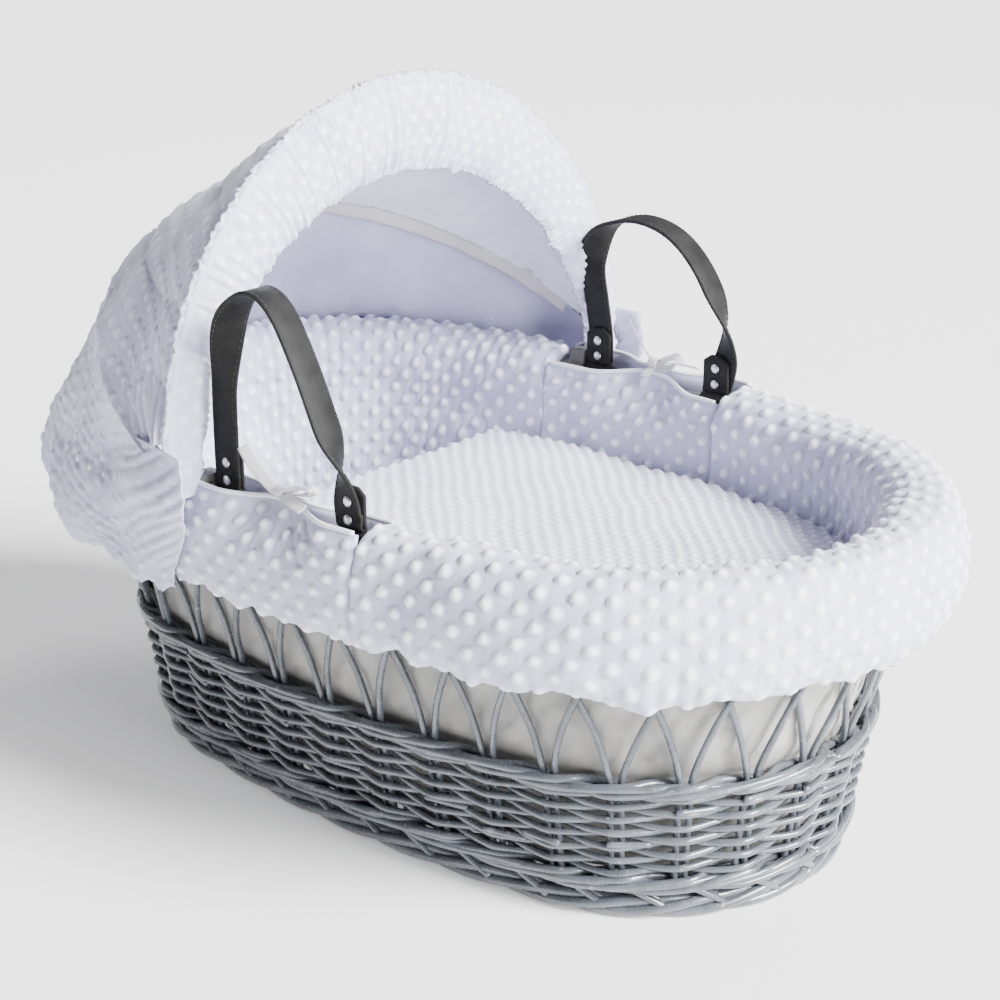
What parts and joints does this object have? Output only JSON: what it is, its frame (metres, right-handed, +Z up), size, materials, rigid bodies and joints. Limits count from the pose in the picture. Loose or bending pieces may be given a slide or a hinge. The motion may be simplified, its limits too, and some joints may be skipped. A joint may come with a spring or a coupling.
{
  "type": "moses basket with hood",
  "caption": "Oval wicker sleeping basket with open arch sides, padded dimple lining, coverlet, folding hood and strap handles",
  "frame": {"origin": "middle of the object's footprint, on the floor", "axes": "+X runs to the foot end and away from the hood, -Y is the near side, +Z is up"},
  "size_m": [0.8324, 0.5264, 0.5627],
  "materials": {
    "wicker_paint": "grey painted willow, semi-gloss",
    "hidden_willow": "grey painted willow, matte",
    "white_dimple_cloth": "soft dimple plush",
    "white_cotton": "plain cotton",
    "cream_cotton": "plain cotton",
    "foam": "open-cell foam",
    "ribbon": "satin ribbon",
    "faux_leather": "matte faux leather",
    "nickel": "satin nickel",
    "hoop_wire": "coated steel wire",
    "clip_plastic": "moulded plastic"
  },
  "bodies": {
    "basket": {"foot_border": "wicker_paint", "base_cross_sticks": "hidden_willow", "base_long_sticks": "hidden_willow", "base_weave": "hidden_willow", "stakes": "wicker_paint", "foot_wale": "wicker_paint", "side_weave": "wicker_paint", "top_wale": "wicker_paint", "arch_rods": "wicker_paint", "rim_border": "wicker_paint", "liner": "cream_cotton", "mattress_cover": "white_cotton", "mattress_core": "foam", "coverlet": "white_dimple_cloth", "bumper_foot": "white_dimple_cloth", "bumper_head": "white_dimple_cloth", "side_pad_near": "white_dimple_cloth", "side_pad_far": "white_dimple_cloth", "side_flap_near": "white_dimple_cloth", "side_flap_far": "white_dimple_cloth", "ribbon_tie_near": "ribbon", "ribbon_tie_far": "ribbon", "hood_clips": "clip_plastic", "hood_pivot_pins": "nickel", "hood_back_panel": "white_dimple_cloth", "hood_elastic": "white_cotton"},
    "hood_rear": {"rear_hoop": "hoop_wire", "hoop_tape": "cream_cotton", "hood_roof": "white_dimple_cloth", "hood_lining": "white_cotton"},
    "hood_front": {"front_hoop": "hoop_wire", "hood_frill": "white_dimple_cloth"},
    "handle_near": {"strap_near": "faux_leather", "rivets_near": "nickel"},
    "handle_far": {"strap_far": "faux_leather", "rivets_far": "nickel"}
  },
  "joints": [
    {"name": "front_hoop_fold", "type": "hinge", "parent": "hood_rear", "child": "hood_front", "pos_m": [-0.07075, 0, 0.3], "axis": [0, -1, 0], "range_deg": [0, 44], "deforming": ["hood_roof", "hood_lining"]},
    {"name": "rear_hoop_fold", "type": "hinge", "parent": "basket", "child": "hood_rear", "pos_m": [-0.07075, 0, 0.3], "axis": [0, -1, 0], "range_deg": [0, 22], "deforming": ["hood_back_panel"]},
    {"name": "near_handle_swing", "type": "hinge", "parent": "basket", "child": "handle_near", "pos_m": [0.01525, -0.21817, 0.268], "axis": [-1, 0, 0], "range_deg": [-42, 46]},
    {"name": "far_handle_swing", "type": "hinge", "parent": "basket", "child": "handle_far", "pos_m": [0.01525, 0.21817, 0.268], "axis": [1, 0, 0], "range_deg": [-42, 46]}
  ],
  "couplings": [
    {"joint": "rear_hoop_fold", "follows": "front_hoop_fold", "ratio": 0.5}
  ]
}
